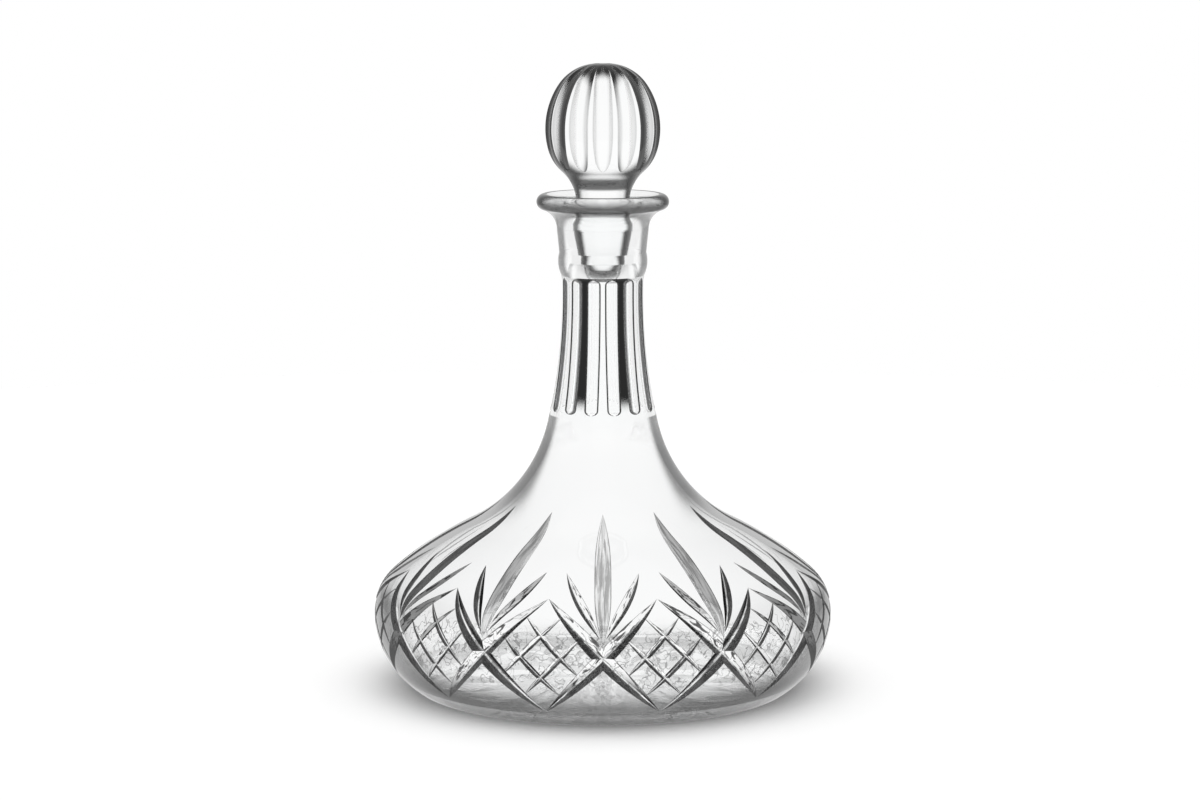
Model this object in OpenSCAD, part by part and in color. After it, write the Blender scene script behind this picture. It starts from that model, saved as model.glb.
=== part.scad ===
// Ships decanter: a broad cut-glass bowl under a tall neck, with a ground glass stopper.
// Millimetres, +Z up. The origin is the middle of the foot, and -Y is the front.

/* [Bowl] */
// Radius of the bowl at its widest line
belly_radius = 100; // [96:1:106]
// Height of the widest line above the table
belly_height = 32; // [29:1:35]
// Radius of the curve from the widest line down to the foot
lower_curve = 38.5; // [36:0.5:44]
// Radius of the curve from the widest line up to the shoulder
upper_curve = 22; // [19:0.5:25]
// Angle that the upper curve turns through before the shoulder starts
upper_sweep = 50; // [48:0.5:52]
// Radius of the gently rounded shoulder
shoulder_curve = 170; // [150:5:200]
// Radius of the hollow sweep from the shoulder up to the neck
sweep_curve = 66; // [56:1:76]
// Thickness of the glass at the widest line
belly_wall = 5; // [4:0.2:7]
// Thickness of the glass of the shoulder and the neck
wall = 3.4; // [3:0.2:4.4]
// Thickness of the bottom
floor_thickness = 8; // [5:0.5:14]

/* [Cut pattern] */
// Number of motifs around the bowl
motifs = 12; // [10:1:14]
// Distance along the glass from the widest line up to the top of the broad cuts
lattice_rise = 27; // [22:0.5:30]
// Distance along the glass from the widest line down to the foot of the broad cuts
lattice_drop = 27; // [22:0.5:28]
// Depth of the broad cuts where they cross
lattice_depth = 2.2; // [1:0.1:2.6]
// Distance along the glass from the widest line to the foot of a tall leaf
leaf_foot = 6; // [5:0.5:12]
// Distance along the glass from the widest line to the tip of a tall leaf
leaf_tip = 78.5; // [72:0.5:82]
// Depth of a tall leaf at its broadest place
leaf_depth = 2.2; // [1.2:0.1:2.4]
// Distance along the glass from the widest line to the foot of a side leaf
side_leaf_foot = 8; // [7:0.5:14]
// Distance along the glass from the widest line to the tip of a side leaf
side_leaf_tip = 42; // [38:0.5:46]
// Angle around the axis from a motif to the tip of a side leaf
side_leaf_spread = 11.7; // [10:0.1:12.5]
// Depth of a side leaf at its broadest place
side_leaf_depth = 1.35; // [0.8:0.05:1.6]
// Half of the angle of a mitre cut
mitre_half_angle = 57; // [45:1:62]

/* [Neck] */
// Radius of the neck at its waist
neck_radius = 17.8; // [17:0.1:18.6]
// Height of the waist of the neck
waist_height = 172; // [168:0.5:175]
// Radius of the long hollow curve of the neck
neck_curve = 267; // [240:1:300]
// Height at which the neck ends under the bead
neck_top = 179; // [177:0.5:181]
// Number of flutes around the neck
neck_flutes = 14; // [10:2:16]
// Depth of a neck flute
neck_flute_depth = 0.9; // [0.4:0.1:1.2]
// Radius of the wheel edge that hollows a neck flute
neck_flute_radius = 7.3; // [5:0.1:9]
// Height of the lower end of the neck flutes
neck_flute_low = 121; // [110:1:140]
// Height of the upper end of the neck flutes
neck_flute_high = 178; // [160:0.5:178]

/* [Mouth] */
// Height of the rounded bead above the neck
bead_height = 10; // [6:0.5:11]
// How far the bead stands out from its own chord
bead_bulge = 0.9; // [0.4:0.1:1.4]
// Radius of the groove between the bead and the collar
collar_foot_radius = 18.8; // [18.4:0.1:19.4]
// Radius of the collar where the lip starts to flare
collar_radius = 19.8; // [19.4:0.1:21]
// Height at which the lip starts to flare
flare_height = 199; // [198:0.5:202]
// Radius of the hollow curve under the lip
flare_curve = 8.9; // [7.5:0.1:10]
// Radius of the lip
lip_radius = 28.6; // [27.8:0.1:29.6]
// Thickness of the lip
lip_thickness = 6.8; // [6:0.1:7.2]

/* [Stopper seat] */
// Height of the lower end of the ground seat
seat_low = 184.5; // [183:0.5:188]
// Angle of the ground seat to the axis
seat_taper = 11.3; // [8:0.1:12]
// Gap between the ground seat and the ground peg
seat_clearance = 0.1; // [0.05:0.05:0.3]
// How far the hollow under the seat drops to meet the wall of the neck
seat_undercut = 7; // [5:0.5:10]

/* [Stopper] */
// How far the peg reaches below the seat
peg_reach = 1.2; // [0:0.1:4]
// Height of the plain band above the tapered part of the peg
peg_band = 4.3; // [3:0.1:5]
// Radius of the waist between the peg and the ball
stopper_waist_radius = 11.5; // [10.5:0.1:12]
// Radius of the hollow curve of the stopper waist
stopper_waist_curve = 18; // [15:0.5:20]
// Radius of the ball at its widest line
ball_radius = 24.7; // [24:0.1:26]
// Height of the widest line of the ball above the waist of the stopper
ball_rise = 31.9; // [31:0.1:33]
// Radius of the curve of the side of the ball
ball_side_curve = 34; // [32:0.5:37]
// Radius of the curve of the lower part of the ball
ball_lower_curve = 20; // [18:0.5:22]
// Height of the top of the ball above its widest line
ball_crown = 27.9; // [27:0.1:29]
// Radius of the flat top of the ball
ball_top_radius = 6; // [4:0.5:8]
// Number of flutes around the ball
ball_flutes = 14; // [10:2:18]
// Depth of a ball flute at the widest line
ball_flute_depth = 1.3; // [0.6:0.1:1.8]
// Radius of the wheel edge that hollows a ball flute
ball_flute_radius = 13.4; // [10:0.2:18]
// How far outside the flat top the ball flutes run out
ball_flute_margin = 2; // [1:0.5:4]
// How far below the widest line the ball flutes run out
ball_flute_drop = 17.5; // [15:0.5:18]

/* [Hidden] */
$fn = 96;
glass_colour = "LightBlue";
// Number of flats that stand for each curve of an outline
arc_flats = 10;
// Turns a cut made over +X so that it faces the front
front_turn = -90;
// Two broad cuts, a tall leaf and two side leaves
cuts_per_motif = 5;
// Number of straight lengths along a broad cut
lattice_steps = 6;
// Number of straight lengths along a tall leaf
leaf_steps = 6;
// Number of straight lengths along a side leaf
side_leaf_steps = 3;
// Fraction of the length of a tall leaf at which it is broadest
leaf_peak = 0.38;
// How far a cutter stands out of the glass
cut_spare = 2;
// How far a wheel turns on past the place where its cut runs out
run_out = 3;

mouth_radius = collar_radius - lip_thickness;
seat_low_radius = mouth_radius - (flare_height - seat_low) * tan(seat_taper);
flare_centre = [collar_radius + flare_curve, flare_height];
rim_radius = lip_thickness / 2;
rim_angle = acos((lip_radius - rim_radius - flare_centre.x) / (flare_curve + rim_radius));
rim_centre = flare_centre + (flare_curve + rim_radius) * heading(rim_angle);
neck_centre = [neck_radius + neck_curve, waist_height];

lower_centre = [belly_radius - lower_curve, belly_height];
upper_centre = [belly_radius - upper_curve, belly_height];
shoulder_centre = upper_centre - (shoulder_curve - upper_curve) * heading(upper_sweep);
sweep_centre = meeting_point(
    neck_centre, neck_curve - sweep_curve, shoulder_centre, shoulder_curve + sweep_curve);
sweep_start = angle_of(sweep_centre - shoulder_centre) + 180;
shoulder_sweep = sweep_start - 180 - upper_sweep;
upper_length = upper_sweep * upper_curve * PI / 180;
shoulder_length = upper_length + shoulder_sweep * shoulder_curve * PI / 180;
motif_turn = 360 / motifs;
half_turn = motif_turn / 2;

peg_gap = seat_clearance / cos(seat_taper);
peg_low = seat_low - peg_reach;
peg_radius = mouth_radius - peg_gap;
peg_low_radius = peg_radius - (flare_height - peg_low) * tan(seat_taper);
band_top = flare_height + peg_band;
stopper_waist_centre_x = stopper_waist_radius + stopper_waist_curve;
band_angle = acos((stopper_waist_centre_x - peg_radius) / stopper_waist_curve);
stopper_waist_height = band_top + stopper_waist_curve * sin(band_angle);
stopper_waist_centre = [stopper_waist_centre_x, stopper_waist_height];
ball_height = stopper_waist_height + ball_rise;
side_centre = [ball_radius - ball_side_curve, ball_height];
crown_reach = ball_top_radius - side_centre.x;
crown_spare = pow(ball_side_curve, 2) - pow(crown_reach, 2) - pow(ball_crown, 2);
crown_curve = crown_spare / (2 * (ball_side_curve - ball_crown));
crown_centre = [ball_top_radius, ball_height + ball_crown - crown_curve];
ball_lower_centre = meeting_point(
    stopper_waist_centre, stopper_waist_curve + ball_lower_curve,
    side_centre, ball_side_curve - ball_lower_curve);

// The unit vector at an angle
function heading(angle) = [cos(angle), sin(angle)];

// The angle of a vector, from 0 to 360
function angle_of(v) = (atan2(v.y, v.x) + 360) % 360;

// The points along an arc after its first point
function arc_on(centre, radius, from, to) =
    [for (i = [1:arc_flats]) centre + radius * heading(from + (to - from) * i / arc_flats)];

// The point at two given distances from two centres, on the right of the line between them
function meeting_point(a, from_a, b, from_b) =
    let (
        gap = norm(b - a),
        along = (from_a * from_a - from_b * from_b + gap * gap) / (2 * gap),
        aside = sqrt(from_a * from_a - along * along),
        ahead = (b - a) / gap
    )
    a + along * ahead + aside * [ahead.y, -ahead.x];

// The centre of the circle through three points
function circle_centre(a, b, c) =
    let (
        ab = b - a,
        ac = c - a,
        twice = 2 * cross(ab, ac)
    )
    a + [ac.y * (ab * ab) - ab.y * (ac * ac), ab.x * (ac * ac) - ac.x * (ab * ab)] / twice;

// The points of an arc from a to b that bulges to the right of the way from a to b
function bulge_on(a, b, bulge) =
    let (
        chord = norm(b - a),
        radius = (chord * chord / 4 + bulge * bulge) / (2 * bulge),
        ahead = (b - a) / chord,
        outward = [ahead.y, -ahead.x],
        centre = (a + b) / 2 - (radius - bulge) * outward,
        half = asin(chord / 2 / radius),
        middle = angle_of(outward)
    )
    arc_on(centre, radius, middle - half, middle + half);

// The outline of the bowl and neck from one height up to another, as smooth arcs that meet
function bowl_outline(belly, lower, upper, shoulder, sweep, neck, low, high) =
    let (
        lower_centre = [belly - lower, belly_height],
        upper_centre = [belly - upper, belly_height],
        shoulder_centre = upper_centre - (shoulder - upper) * heading(upper_sweep),
        sweep_centre = meeting_point(
            neck_centre, neck - sweep, shoulder_centre, shoulder + sweep),
        shoulder_end = angle_of(sweep_centre - shoulder_centre),
        neck_start = angle_of(sweep_centre - neck_centre),
        neck_end = 180 - asin((high - neck_centre.y) / neck),
        foot = asin((low - belly_height) / lower)
    )
    concat(
        [lower_centre + lower * heading(foot)],
        arc_on(lower_centre, lower, foot, 0),
        arc_on(upper_centre, upper, 0, upper_sweep),
        arc_on(shoulder_centre, shoulder, upper_sweep, shoulder_end),
        arc_on(sweep_centre, sweep, shoulder_end + 180, neck_start),
        arc_on(neck_centre, neck, neck_start, neck_end));

// The point of the outline at a distance along the glass from the widest line, up or down
function skin(along) =
    along < 0 ? lower_centre + lower_curve * heading(turned(along, lower_curve)) :
    along < upper_length ? upper_centre + upper_curve * heading(turned(along, upper_curve)) :
    along < shoulder_length
        ? shoulder_centre
            + shoulder_curve * heading(upper_sweep + turned(along - upper_length, shoulder_curve))
        : sweep_centre
            + sweep_curve * heading(sweep_start - turned(along - shoulder_length, sweep_curve));

// The way out of the glass at that place
function skin_normal(along) =
    along < 0 ? heading(turned(along, lower_curve)) :
    along < upper_length ? heading(turned(along, upper_curve)) :
    along < shoulder_length
        ? heading(upper_sweep + turned(along - upper_length, shoulder_curve))
        : -heading(sweep_start - turned(along - shoulder_length, sweep_curve));

// The angle that a length of an arc turns through
function turned(length, radius) = length / radius * 180 / PI;

// The point on the bowl, or a depth under it, at an angle around the axis
function on_bowl(turn, along, depth = 0) =
    let (p = skin(along) - depth * skin_normal(along))
    [p.x * cos(turn), p.x * sin(turn), p.y];

// The way out of the bowl at an angle around the axis
function out_of_bowl(turn, along) =
    let (n = skin_normal(along))
    [n.x * cos(turn), n.x * sin(turn), n.y];

// The depth of a cut at a fraction of its length, greatest at a peak and running out at both ends
function lens_depth(depth, part, peak = 0.5) =
    depth * (1 - pow((part - peak) / (part < peak ? peak : 1 - peak), 2));

// The list from its last item to its first
function backward(list) = [for (i = [len(list) - 1:-1:0]) list[i]];

outside = bowl_outline(
    belly_radius, lower_curve, upper_curve, shoulder_curve, sweep_curve, neck_curve,
    0, neck_top);
inside = bowl_outline(
    belly_radius - belly_wall, lower_curve - belly_wall, upper_curve - wall,
    shoulder_curve - wall, sweep_curve + wall, neck_curve + wall,
    floor_thickness, seat_low - seat_undercut);
collar_foot = [collar_foot_radius, neck_top + bead_height];

// The whole wall in section: up the outside, over the lip and down the inside
wall_section = concat(
    [[0, 0]],
    outside,
    bulge_on(outside[len(outside) - 1], collar_foot, bead_bulge),
    [[collar_radius, flare_height]],
    arc_on(flare_centre, flare_curve, 180, rim_angle),
    arc_on(rim_centre, rim_radius, rim_angle - 180, rim_angle),
    arc_on(flare_centre, flare_curve + lip_thickness, rim_angle, 180),
    [[seat_low_radius, seat_low]],
    backward(inside),
    [[0, floor_thickness]]);

// The solid stopper in section: up the peg, around the ball and back to the axis
side_start = angle_of(ball_lower_centre - side_centre) - 360;
side_end = angle_of(crown_centre - side_centre);
waist_end = angle_of(ball_lower_centre - stopper_waist_centre);
stopper_section = concat(
    [[0, peg_low], [peg_low_radius, peg_low], [peg_radius, flare_height], [peg_radius, band_top]],
    arc_on(stopper_waist_centre, stopper_waist_curve, 180 + band_angle, waist_end),
    arc_on(ball_lower_centre, ball_lower_curve, waist_end - 180, side_start),
    arc_on(side_centre, ball_side_curve, side_start, side_end),
    arc_on(crown_centre, crown_curve, side_end, 90),
    [[0, ball_height + ball_crown]]);

// A wheel with a round edge that stands in the plane over +X
module round_wheel(centre, radius, edge, from, to) {
    translate([centre.x, 0, centre.y])
        rotate([90, 0, 0])
            rotate(from)
                rotate_extrude(angle = to - from)
                    translate([radius, 0])
                        circle(edge);
}

// One flute of the neck, which follows the hollow curve of the neck
module neck_flute(turn) {
    from = 180 - asin((neck_flute_high - waist_height) / neck_curve);
    to = 180 + asin((waist_height - neck_flute_low) / neck_curve);
    rotate(turn)
        round_wheel(
            neck_centre, neck_curve + neck_flute_depth - neck_flute_radius,
            neck_flute_radius, from, to);
}

// One flute of the ball, deepest at the widest line and running out above and below it
module ball_flute(turn) {
    widest = [ball_radius - ball_flute_depth, ball_height];
    top_rise = sqrt(pow(crown_curve, 2) - pow(ball_flute_margin, 2));
    top = crown_centre + [ball_flute_margin, top_rise];
    low_z = ball_height - ball_flute_drop;
    low_x = sqrt(pow(ball_lower_curve, 2) - pow(low_z - ball_lower_centre.y, 2));
    low = [ball_lower_centre.x + low_x, low_z];
    centre = circle_centre(low, widest, top);
    floor_radius = norm(widest - centre);
    rotate(turn)
        round_wheel(
            centre, floor_radius + ball_flute_radius, ball_flute_radius,
            angle_of(low - centre) - 360 - run_out, angle_of(top - centre) + run_out);
}

// A mitre cut along a row of places, each of them an angle, a distance along the glass and a depth
module mitre_cut(places) {
    last = len(places) - 1;
    corners = [
        for (i = [0:last])
            let (
                here = places[i],
                before = places[max(i - 1, 0)],
                after = places[min(i + 1, last)],
                ahead = on_bowl(after[0], after[1]) - on_bowl(before[0], before[1]),
                aside = cross(ahead, out_of_bowl(here[0], here[1])),
                half_width = (here[2] + cut_spare) * tan(mitre_half_angle),
                reach = half_width * aside / norm(aside),
                top = on_bowl(here[0], here[1], -cut_spare))
            each [on_bowl(here[0], here[1], here[2]), top - reach, top + reach]
    ];
    sides = [
        for (i = [0:last - 1], k = [0:2])
            let (a = 3 * i + k, b = 3 * i + (k + 1) % 3)
            each [[a, b + 3, b], [a, a + 3, b + 3]]
    ];
    polyhedron(corners, concat([[0, 1, 2]], sides, [[3 * last + 2, 3 * last + 1, 3 * last]]));
}

// One of the two broad cuts that cross at a motif, rising to the left or to the right
module lattice_cut(turn, side) {
    mitre_cut([
        for (i = [0:lattice_steps])
            let (part = i / lattice_steps)
            [
                turn + side * half_turn * (1 - 2 * part),
                lattice_rise - (lattice_rise + lattice_drop) * part,
                lens_depth(lattice_depth, part)
            ]
    ]);
}

// The tall leaf above a motif
module tall_leaf(turn) {
    mitre_cut([
        for (i = [0:leaf_steps])
            let (part = i / leaf_steps)
            [turn, leaf_foot + (leaf_tip - leaf_foot) * part, lens_depth(leaf_depth, part, leaf_peak)]
    ]);
}

// One of the two shorter leaves that lean out from the foot of a tall leaf
module side_leaf(turn, side) {
    mitre_cut([
        for (i = [0:side_leaf_steps])
            let (part = i / side_leaf_steps)
            [
                turn + side * side_leaf_spread * part,
                side_leaf_foot + (side_leaf_tip - side_leaf_foot) * part,
                lens_depth(side_leaf_depth, part)
            ]
    ]);
}

// The plain vessel with its first few neck flutes cut, one after another
module fluted_vessel(count) {
    if (count == 0)
        rotate_extrude() polygon(wall_section);
    else
        difference() {
            fluted_vessel(count - 1);
            neck_flute(front_turn + 360 / neck_flutes * (count - 0.5));
        }
}

// One of the cuts of the pattern, counted motif by motif around the bowl
module pattern_cut(index) {
    turn = front_turn + motif_turn * floor(index / cuts_per_motif);
    which = index % cuts_per_motif;
    if (which == 0) lattice_cut(turn, -1);
    if (which == 1) lattice_cut(turn, 1);
    if (which == 2) tall_leaf(turn);
    if (which == 3) side_leaf(turn, -1);
    if (which == 4) side_leaf(turn, 1);
}

// The fluted vessel with the first few cuts of its pattern made, one after another
module cut_vessel(count) {
    if (count == 0)
        fluted_vessel(neck_flutes);
    else
        difference() {
            cut_vessel(count - 1);
            pattern_cut(count - 1);
        }
}

// The plain stopper with its first few ball flutes cut, one after another
module fluted_stopper(count) {
    if (count == 0)
        rotate_extrude() polygon(stopper_section);
    else
        difference() {
            fluted_stopper(count - 1);
            ball_flute(front_turn + 360 / ball_flutes * count);
        }
}

module decanter() {
    color(glass_colour) cut_vessel(motifs * cuts_per_motif);
}

module stopper() {
    color(glass_colour) fluted_stopper(ball_flutes);
}

decanter();
stopper();
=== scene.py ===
"""Looks of the ships decanter: clear cut glass on a plain white studio floor.

Lengths are in millimetres until a mesh is made, and then in metres.
A place on a turned surface is (turn, along): the angle around the axis in degrees from the front,
and the distance along the outline. The outside of the outline is on the right of the way along it.
"""

import math

import bpy
import numpy as np
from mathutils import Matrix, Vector
from mathutils.geometry import delaunay_2d_cdt


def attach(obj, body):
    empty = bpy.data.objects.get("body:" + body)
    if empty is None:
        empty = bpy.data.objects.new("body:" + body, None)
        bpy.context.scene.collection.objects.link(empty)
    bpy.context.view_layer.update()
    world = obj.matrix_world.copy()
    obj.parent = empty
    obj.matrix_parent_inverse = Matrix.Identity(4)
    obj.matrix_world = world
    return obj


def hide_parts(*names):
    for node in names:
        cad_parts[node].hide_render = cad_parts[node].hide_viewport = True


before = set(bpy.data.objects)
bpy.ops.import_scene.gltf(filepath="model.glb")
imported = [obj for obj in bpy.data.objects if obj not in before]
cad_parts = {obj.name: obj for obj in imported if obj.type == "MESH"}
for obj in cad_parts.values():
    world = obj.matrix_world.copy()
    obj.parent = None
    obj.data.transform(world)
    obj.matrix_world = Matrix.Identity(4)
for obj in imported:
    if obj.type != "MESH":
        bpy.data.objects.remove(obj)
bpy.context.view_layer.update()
scene = bpy.context.scene

MM = 0.001
DEG = math.pi / 180
RADIUS, HEIGHT = range(2)

# Driving sizes of the vessel, as the solids have them
BELLY_RADIUS = 100.0
BELLY_HEIGHT = 32.0
LOWER_CURVE = 38.5
UPPER_CURVE = 22.0
UPPER_SWEEP = 50.0
SHOULDER_CURVE = 170.0
SWEEP_CURVE = 66.0
BELLY_WALL = 5.0
WALL = 3.4
FLOOR_THICKNESS = 8.0
NECK_RADIUS = 17.8
WAIST_HEIGHT = 172.0
NECK_CURVE = 267.0
NECK_TOP = 179.0
BEAD_HEIGHT = 10.0
BEAD_BULGE = 0.9
COLLAR_FOOT_RADIUS = 18.8
COLLAR_RADIUS = 19.8
FLARE_HEIGHT = 199.0
FLARE_CURVE = 8.9
LIP_RADIUS = 28.6
LIP_THICKNESS = 6.8
MOUTH_RADIUS = COLLAR_RADIUS - LIP_THICKNESS
SEAT_LOW = 184.5
SEAT_TAPER = 11.3
SEAT_CLEARANCE = 0.1
SEAT_UNDERCUT = 7.0

# Driving sizes of the stopper, as the solids have them
PEG_REACH = 1.2
PEG_BAND = 4.3
STOPPER_WAIST_RADIUS = 11.5
STOPPER_WAIST_CURVE = 18.0
BALL_RADIUS = 24.7
BALL_RISE = 31.9
BALL_SIDE_CURVE = 34.0
BALL_LOWER_CURVE = 20.0
BALL_CROWN = 27.9

# Top of the ball, which is rounder than in the solid
BALL_TOP_RADIUS = 2.0
BALL_FLUTE_MARGIN = 5.0

# Cut decoration
MOTIFS = 12
LATTICE_RISE = 27.0
LATTICE_DROP = 27.0
LATTICE_HALF_WIDTH = 3.4
HATCH_HALF_WIDTH = 1.3
LEAF_FOOT = 6.0
LEAF_TIP = 78.5
LEAF_HALF_WIDTH = 3.5
LEAF_PEAK = 0.38
LEAF_POWER = 3.0
SIDE_LEAF_FOOT = 8.0
SIDE_LEAF_TIP = 42.0
SIDE_LEAF_SPREAD = 11.7
SIDE_LEAF_HALF_WIDTH = 2.1
SIDE_LEAF_START = 0.6
SIDE_LEAF_PEAK = 0.45
MITRE_HALF_ANGLE = 57.0
NECK_FLUTES = 14
NECK_FLUTE_DEPTH = 0.9
NECK_FLUTE_RADIUS = 7.3
NECK_FLUTE_LOW = 120.5
NECK_FLUTE_HIGH = 178.5
NECK_FLUTE_END = 2.2
BALL_FLUTES = 14
BALL_FLUTE_DEPTH = 1.3
BALL_FLUTE_RADIUS = 13.4
BALL_FLUTE_DROP = 17.5
STAR_RAYS = 24
STAR_HEART = 9.0
STAR_RADIUS = 66.0
STAR_HALF_WIDTH = 4.0

# Bare surface that is left around the cuts in each belt
STAR_MARGIN = 1.0
BOWL_MARGIN = 2.0
NECK_MARGIN = 2.0
BALL_MARGIN = 1.0

# Heights at which the far walls start to open, are open, start to close and are closed
FAR_OPEN_HEIGHTS = (4.0, 10.5, 100.0, 116.0)

# Glass
GLASS_COLOUR = (0.985, 0.99, 0.99)
GLASS_INDEX = 1.52
POLISH = 0.004
POLISH_GRAIN = (90, 90, 90)
POLISH_DETAIL = 3
GROUND_ROUGHNESS = 0.03

# Painted shade: streaks along the cuts, lighter middles of the ball's flutes, and its fade at the foot of
# the neck's lands
STREAK_COUNTS = (2.5, 0.15)
STREAK_DETAIL = 2
STREAK_BEND = 0.6
LIGHT_MIDDLE = (0.45, 0.8)
LAND_FADE = 9

# Painted squiggles, dark lines that stand in for broken light, on the inside of the bowl
SQUIGGLE_HEIGHTS = (16, 20, 38, 44)
SQUIGGLE_LEVEL = 0.5
SQUIGGLE_GRAIN = (330, 330, 330)
SQUIGGLE_DETAIL = 0.5
SQUIGGLE_BEND = 0.6
SQUIGGLE_EDGES = (0.015, 0.045)
SQUIGGLE_GAP_GRAIN = (165, 165, 165)
SQUIGGLE_GAPS = (0.36, 0.46)

# Floor, and how narrow the soft light from above is
FLOOR_RADIUS = 1.0
FLOOR_SIDES = 72
FLOOR_DROP = 0.15
FLOOR_COLOUR = (0.9, 0.9, 0.9, 1)
FLOOR_GLOW = 0.14
SOFT_POWER = 3

# What the glass shows of the studio, by angles from straight ahead and above the horizon
MIRRORED_LEVEL = 0.65
SIDES = (18, 32)
SIDE_LEVEL = 0.88
CEILING = (22, 40)
CEILING_LEVEL = 0.8
LAMP = (55, 70)

# How often light is followed
LIGHT_BOUNCES = 32
MIRROR_BOUNCES = 16

# Camera
EYE = Vector((-0.0012, -1.35, 0.3228))
AIM = Vector((-0.0012, 0.0, 0.1243))
CAMERA_LENS = 94.1
CAMERA_SENSOR = 36

# Places of the materials in the list of each piece, of which the stopper has the first three
# The flank materials hold painted shade: darkest on flanks that lean up, palest on those that lean down
CLEAR, GROUND, FLUTE, INSIDE, LAND, RIM, FOOT, DARK_FLANK, LEAF_FLANK, PALE_FLANK = range(10)

# Lean that tells the flanks of a cut apart, and the steps between the numbers of flanks and motifs
FLANK_LEAN = 0.3
FLANK_SHIFT = 0.25
FLANK_STEP = 20

# Fineness of the meshes
COLUMNS = 336
STOPPER_COLUMNS = 224
CUT_SPACING = 1.7
STAR_SPACING = 3.0
NECK_SPACING = 1.1
BALL_SPACING = 1.0
PLAIN_STEP = 2.4
LIP_STEP = 1.4
WAIST_STEP = 1.2
LINE_STRETCH = 4
ARC_STEP = 5.0
SEAT_RING = 2.0
LEAST_STEPS = 8
LEAST_ROWS = 4
ROW_SPACING = 0.87
LINE_CLEARANCE = 0.55
BORDER_CLEARANCE = 0.2
SEARCH_STEPS = 2001
HALVINGS = 30

# What counts as the same place, and small steps
WELD_GRID = 2000
WELD_SHIFT = 0.2371
TINY = 1e-6
LEAST_AREA = 1e-9
LEAST_LENGTH = 1e-3
ON_BORDER = 1e-4
NORMAL_STEP = 0.01
MEETING_SLACK = 0.012


def heading(angle):
    """The unit vector at an angle in degrees."""
    return np.array([math.cos(angle * DEG), math.sin(angle * DEG)])


def add_object(name, data):
    """A new object in the scene."""
    added = bpy.data.objects.new(name, data)
    scene.collection.objects.link(added)
    return added


def sines(angles):
    """The sines of angles in degrees."""
    return [math.sin(angle * DEG) for angle in angles]


def angle_of(vector):
    """The angle of a vector, from 0 to 360 degrees."""
    return math.degrees(math.atan2(vector[1], vector[0])) % 360


def meeting_point(a, from_a, b, from_b):
    """The point at two distances from two centres, on the right of the line between them."""
    gap = np.linalg.norm(b - a)
    along = (from_a**2 - from_b**2 + gap**2) / (2 * gap)
    aside = math.sqrt(from_a**2 - along**2)
    ahead = (b - a) / gap
    return a + along * ahead + aside * np.array([ahead[1], -ahead[0]])


class Outline:
    """A path of lines and arcs in the plane of radius and height, with the glass on its left."""

    def __init__(self, start):
        self.here = np.array(start, float)
        self.pieces = []
        self.starts = [0.0]
        self.marks = {}

    def add(self, kind, data, length):
        """Adds a line or an arc of a length."""
        self.pieces.append((kind, data))
        self.starts.append(self.starts[-1] + length)

    def line(self, r, z):
        """A straight line to a point."""
        end = np.array([r, z], float)
        length = float(np.linalg.norm(end - self.here))
        self.add("line", (self.here, (end - self.here) / length), length)
        self.here = end

    def arc(self, centre, radius, start, end):
        """An arc around a centre from one angle to another."""
        centre = np.array(centre, float)
        self.add("arc", (centre, radius, start, end), abs(end - start) * DEG * radius)
        self.here = centre + radius * heading(end)

    def bulge(self, r, z, height):
        """An arc up to a point, which stands out by a height."""
        end = np.array([r, z], float)
        half = np.linalg.norm(end - self.here) / 2
        radius = (half**2 + height**2) / (2 * height)
        centre = meeting_point(end, radius, self.here, radius)
        self.arc(centre, radius, angle_of(self.here - centre) - 360, angle_of(end - centre))

    def mark(self, name):
        """Keeps the distance that the path has come."""
        self.marks[name] = self.length

    @property
    def length(self):
        return self.starts[-1]

    def piece_at(self, along):
        """The number of the piece at each distance along the path."""
        found = np.searchsorted(self.starts, along, side="right") - 1
        return np.clip(found, 0, len(self.pieces) - 1)

    def at(self, along, piece=None):
        """Radius, height and outward normal at distances along the path, on a piece where given."""
        along = np.atleast_1d(np.asarray(along, float))
        which = self.piece_at(along) if piece is None else np.full(along.shape, piece)
        point = np.zeros(along.shape + (2,))
        normal = np.zeros(along.shape + (2,))
        for i in np.unique(which):
            here = which == i
            kind, data = self.pieces[i]
            step = along[here] - self.starts[i]
            if kind == "line":
                start, ahead = data
                point[here] = start + step[:, None] * ahead
                normal[here] = [ahead[1], -ahead[0]]
            else:
                centre, radius, start, end = data
                sign = 1.0 if end > start else -1.0
                angle = start * DEG + sign * step / radius
                spoke = np.stack([np.cos(angle), np.sin(angle)], -1)
                point[here] = centre + radius * spoke
                normal[here] = sign * spoke
        return point[:, 0], point[:, 1], normal[:, 0], normal[:, 1]


def bowl_arcs(belly_wall, wall, low, high):
    """The arcs of the bowl and neck from one height up to another, at depths under the outside."""
    belly = BELLY_RADIUS - belly_wall
    lower = LOWER_CURVE - belly_wall
    upper = UPPER_CURVE - wall
    shoulder = SHOULDER_CURVE - wall
    sweep = SWEEP_CURVE + wall
    neck = NECK_CURVE + wall
    lower_centre = np.array([belly - lower, BELLY_HEIGHT])
    upper_centre = np.array([belly - upper, BELLY_HEIGHT])
    shoulder_centre = upper_centre - (shoulder - upper) * heading(UPPER_SWEEP)
    neck_centre = np.array([NECK_RADIUS + NECK_CURVE, WAIST_HEIGHT])
    sweep_centre = meeting_point(neck_centre, neck - sweep, shoulder_centre, shoulder + sweep)
    shoulder_end = angle_of(sweep_centre - shoulder_centre)
    neck_start = angle_of(sweep_centre - neck_centre)
    neck_end = 180 - math.degrees(math.asin((high - WAIST_HEIGHT) / neck))
    foot = math.degrees(math.asin((low - BELLY_HEIGHT) / lower))
    return [
        (lower_centre, lower, foot, 0.0),
        (upper_centre, upper, 0.0, UPPER_SWEEP),
        (shoulder_centre, shoulder, UPPER_SWEEP, shoulder_end),
        (sweep_centre, sweep, shoulder_end + 180, neck_start),
        (neck_centre, neck, neck_start, neck_end),
    ]


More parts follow.
